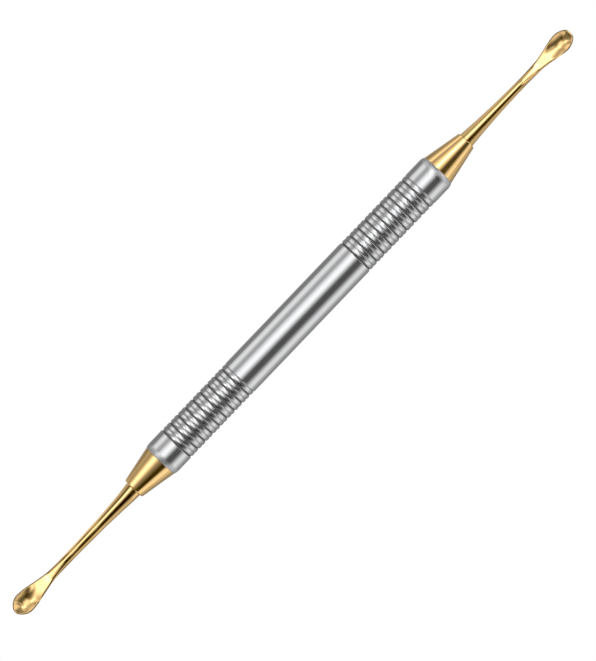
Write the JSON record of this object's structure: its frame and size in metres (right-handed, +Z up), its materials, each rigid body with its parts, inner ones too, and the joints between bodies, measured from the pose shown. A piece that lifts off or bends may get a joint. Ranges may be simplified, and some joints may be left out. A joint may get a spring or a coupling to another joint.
{
  "type": "double-ended ear pick",
  "caption": "Slim steel grooming tool with grooved grip bands on a hollow round handle, cone collars and a small gold-coloured ear spoon at each end.",
  "frame": {"origin": "on the surface the tool lies on, straight below the middle of its overall length", "axes": "+X along the tool towards the shorter (upper) tip, +Z up with both spoon bowls facing up, +Y across the tool"},
  "size_m": [0.159, 0.008, 0.008],
  "materials": {
    "turned_steel": "turned and polished stainless steel, fine turning lines round the barrel",
    "gold_coated_steel": "polished steel under a thin hard gold-coloured coating"
  },
  "bodies": {
    "root": {"handle_tube": "turned_steel", "lower_cone_collar": "gold_coated_steel", "upper_cone_collar": "gold_coated_steel", "lower_spoon_tip": "gold_coated_steel", "upper_spoon_tip": "gold_coated_steel"}
  },
  "joints": []
}
